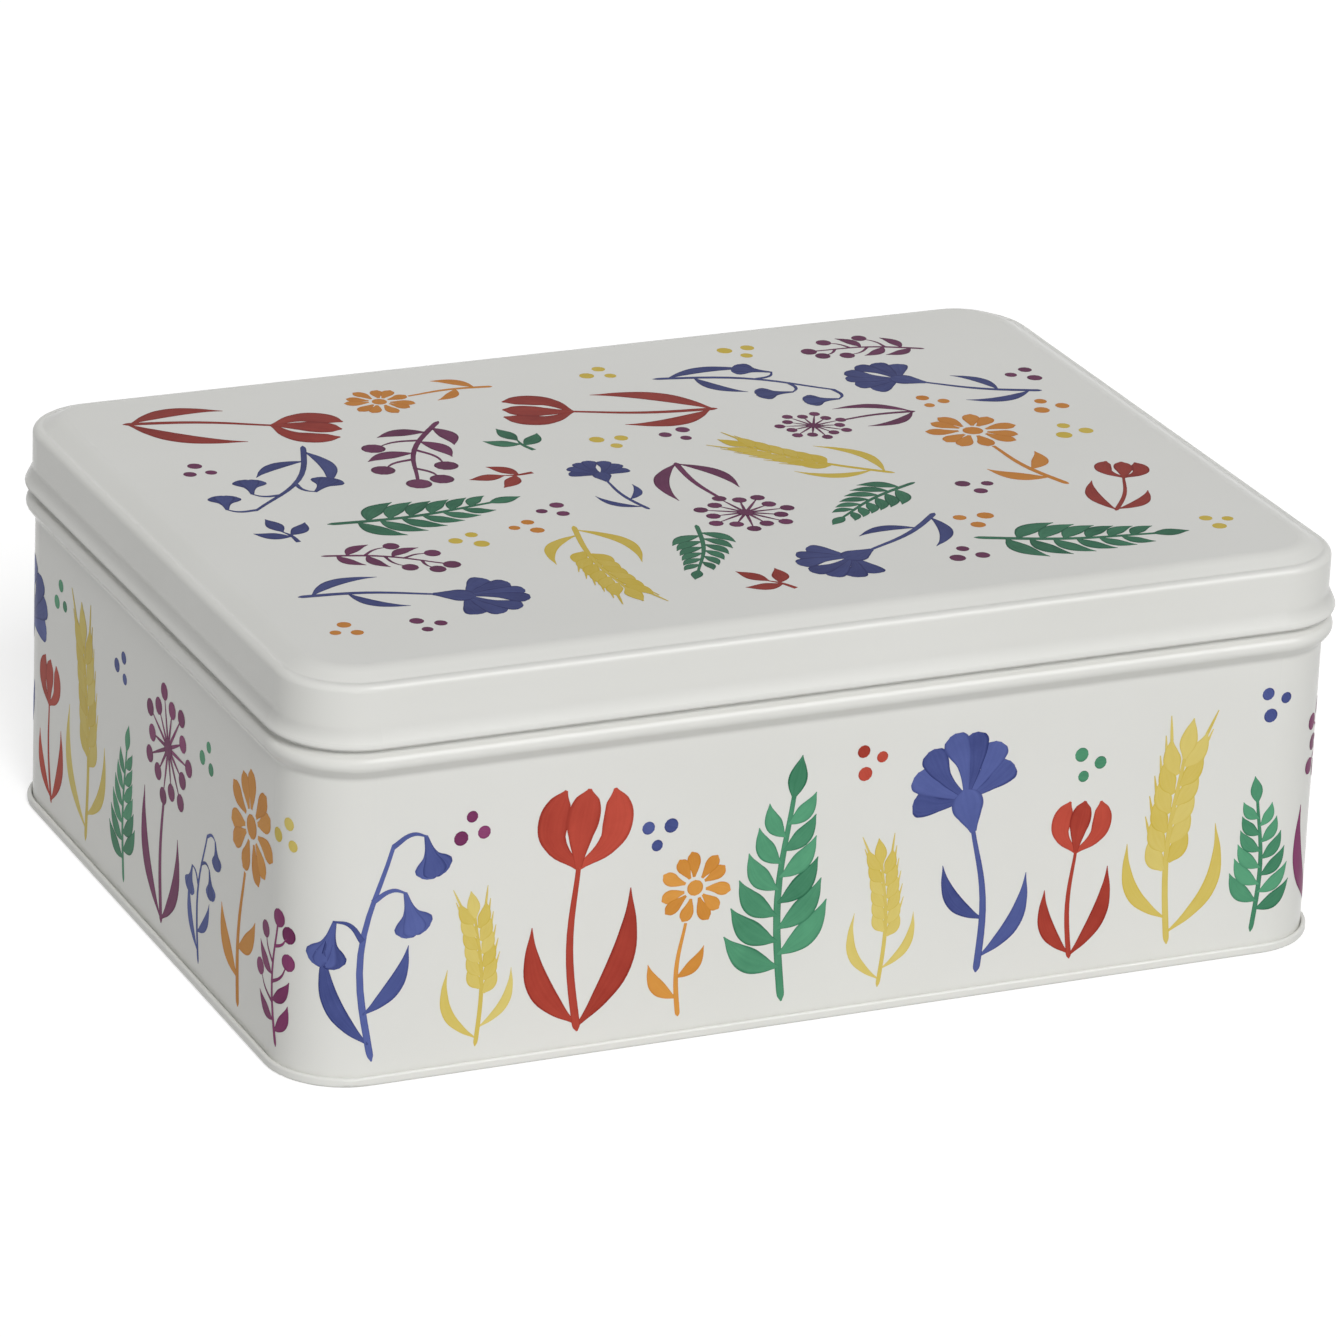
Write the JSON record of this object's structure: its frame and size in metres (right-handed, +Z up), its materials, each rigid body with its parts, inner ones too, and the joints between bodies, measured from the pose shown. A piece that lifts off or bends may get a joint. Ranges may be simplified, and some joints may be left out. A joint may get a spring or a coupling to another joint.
{
  "type": "storage tin",
  "caption": "Rectangular storage tin with rounded corners, a lift-off lid with a curled rim, a beaded side wall and a seamed base, for papers and keepsakes",
  "frame": {"origin": "on the floor, under the middle of the tin", "axes": "+X along the length, +Y to the back, +Z up"},
  "size_m": [0.2446, 0.1796, 0.091],
  "materials": {
    "lid_enamel": "gloss enamel on tinplate",
    "wall_enamel": "gloss enamel on tinplate",
    "base_enamel": "gloss enamel on tinplate"
  },
  "bodies": {
    "tin": {"body_wall": "wall_enamel", "base_plate": "base_enamel"},
    "lid": {"lid": "lid_enamel"}
  },
  "joints": [
    {"name": "lid_lift", "type": "slide", "parent": "tin", "child": "lid", "axis": [0, 0, 1], "range_m": [0, 0.12]}
  ]
}
